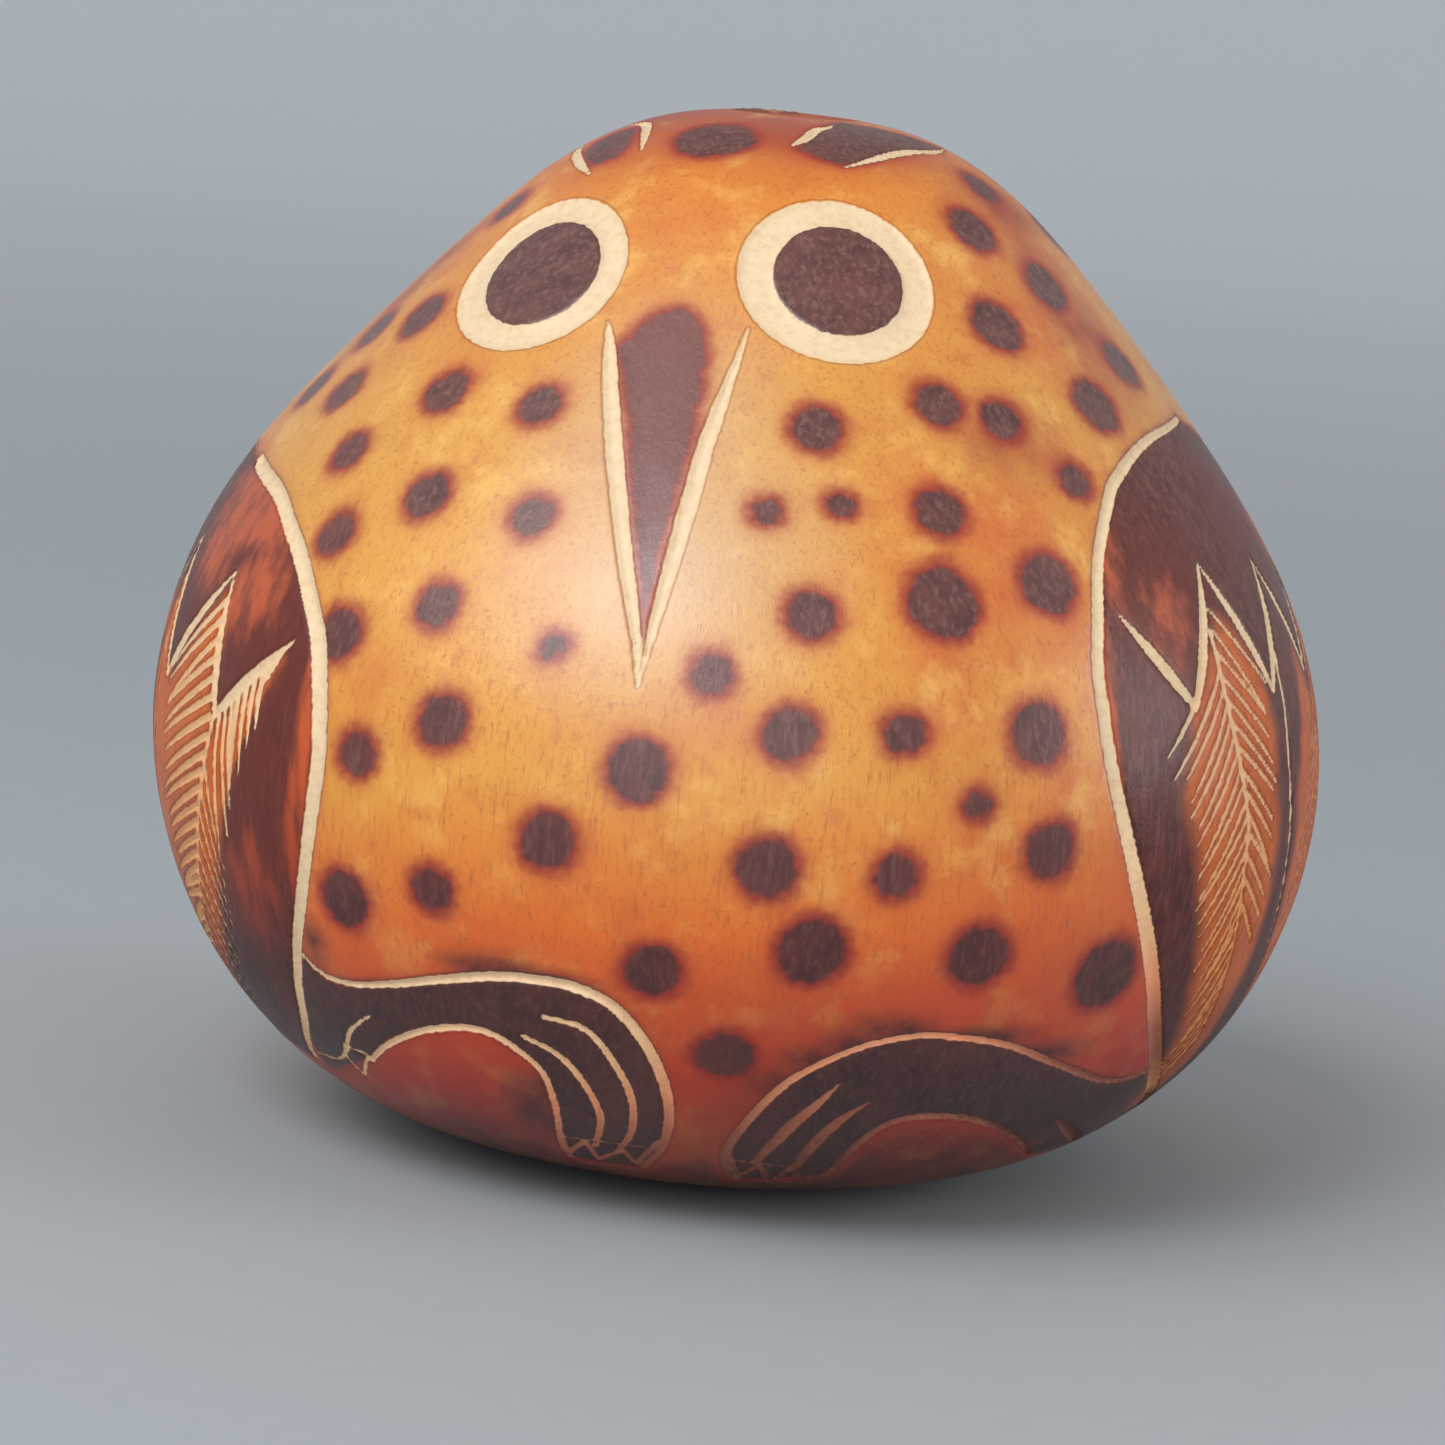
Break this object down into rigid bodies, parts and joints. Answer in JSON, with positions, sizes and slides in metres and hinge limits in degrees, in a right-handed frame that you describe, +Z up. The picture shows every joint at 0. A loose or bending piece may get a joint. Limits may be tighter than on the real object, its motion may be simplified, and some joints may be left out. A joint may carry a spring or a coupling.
{
  "type": "gourd rattle",
  "caption": "Small handle-less gourd shaker with a flat foot, carved and burnt as an owl, with loose seeds inside.",
  "frame": {"origin": "centre of the sanded foot, on the surface that the rattle stands on", "axes": "+Z up along the gourd's axis to the stem; the owl's face looks along -Y"},
  "size_m": [0.084, 0.084, 0.0747],
  "materials": {
    "gourd_rind": "satin",
    "dry_pith": "matte",
    "stem_wood": "matte",
    "seed_coat": "satin"
  },
  "bodies": {
    "gourd": {"gourd_shell": "gourd_rind", "pith_lining": "dry_pith", "stem_plug": "stem_wood"},
    "seed_01": {"seed_01": "seed_coat"},
    "seed_02": {"seed_02": "seed_coat"},
    "seed_03": {"seed_03": "seed_coat"},
    "seed_04": {"seed_04": "seed_coat"},
    "seed_05": {"seed_05": "seed_coat"},
    "seed_06": {"seed_06": "seed_coat"},
    "seed_07": {"seed_07": "seed_coat"},
    "seed_08": {"seed_08": "seed_coat"},
    "seed_09": {"seed_09": "seed_coat"},
    "seed_10": {"seed_10": "seed_coat"},
    "seed_11": {"seed_11": "seed_coat"},
    "seed_12": {"seed_12": "seed_coat"},
    "seed_13": {"seed_13": "seed_coat"},
    "seed_14": {"seed_14": "seed_coat"},
    "seed_15": {"seed_15": "seed_coat"},
    "seed_16": {"seed_16": "seed_coat"},
    "seed_17": {"seed_17": "seed_coat"},
    "seed_18": {"seed_18": "seed_coat"},
    "seed_19": {"seed_19": "seed_coat"},
    "seed_20": {"seed_20": "seed_coat"},
    "seed_21": {"seed_21": "seed_coat"}
  },
  "joints": [
    {"name": "seed_01_toss", "type": "slide", "parent": "gourd", "child": "seed_01", "axis": [0, 0, 1], "range_m": [0, 0.0635]},
    {"name": "seed_02_toss", "type": "slide", "parent": "gourd", "child": "seed_02", "axis": [0, 0, 1], "range_m": [0, 0.0635]},
    {"name": "seed_03_toss", "type": "slide", "parent": "gourd", "child": "seed_03", "axis": [0, 0, 1], "range_m": [0, 0.0635]},
    {"name": "seed_04_toss", "type": "slide", "parent": "gourd", "child": "seed_04", "axis": [0, 0, 1], "range_m": [0, 0.0585]},
    {"name": "seed_05_toss", "type": "slide", "parent": "gourd", "child": "seed_05", "axis": [0, 0, 1], "range_m": [0, 0.0585]},
    {"name": "seed_06_toss", "type": "slide", "parent": "gourd", "child": "seed_06", "axis": [0, 0, 1], "range_m": [0, 0.0585]},
    {"name": "seed_07_toss", "type": "slide", "parent": "gourd", "child": "seed_07", "axis": [0, 0, 1], "range_m": [0, 0.0585]},
    {"name": "seed_08_toss", "type": "slide", "parent": "gourd", "child": "seed_08", "axis": [0, 0, 1], "range_m": [0, 0.0585]},
    {"name": "seed_09_toss", "type": "slide", "parent": "gourd", "child": "seed_09", "axis": [0, 0, 1], "range_m": [0, 0.0585]},
    {"name": "seed_10_toss", "type": "slide", "parent": "gourd", "child": "seed_10", "axis": [0, 0, 1], "range_m": [0, 0.0585]},
    {"name": "seed_11_toss", "type": "slide", "parent": "gourd", "child": "seed_11", "axis": [0, 0, 1], "range_m": [0, 0.0455]},
    {"name": "seed_12_toss", "type": "slide", "parent": "gourd", "child": "seed_12", "axis": [0, 0, 1], "range_m": [0, 0.0455]},
    {"name": "seed_13_toss", "type": "slide", "parent": "gourd", "child": "seed_13", "axis": [0, 0, 1], "range_m": [0, 0.0455]},
    {"name": "seed_14_toss", "type": "slide", "parent": "gourd", "child": "seed_14", "axis": [0, 0, 1], "range_m": [0, 0.0455]},
    {"name": "seed_15_toss", "type": "slide", "parent": "gourd", "child": "seed_15", "axis": [0, 0, 1], "range_m": [0, 0.0455]},
    {"name": "seed_16_toss", "type": "slide", "parent": "gourd", "child": "seed_16", "axis": [0, 0, 1], "range_m": [0, 0.0455]},
    {"name": "seed_17_toss", "type": "slide", "parent": "gourd", "child": "seed_17", "axis": [0, 0, 1], "range_m": [0, 0.0455]},
    {"name": "seed_18_toss", "type": "slide", "parent": "gourd", "child": "seed_18", "axis": [0, 0, 1], "range_m": [0, 0.0455]},
    {"name": "seed_19_toss", "type": "slide", "parent": "gourd", "child": "seed_19", "axis": [0, 0, 1], "range_m": [0, 0.0455]},
    {"name": "seed_20_toss", "type": "slide", "parent": "gourd", "child": "seed_20", "axis": [0, 0, 1], "range_m": [0, 0.0455]},
    {"name": "seed_21_toss", "type": "slide", "parent": "gourd", "child": "seed_21", "axis": [0, 0, 1], "range_m": [0, 0.0455]}
  ]
}
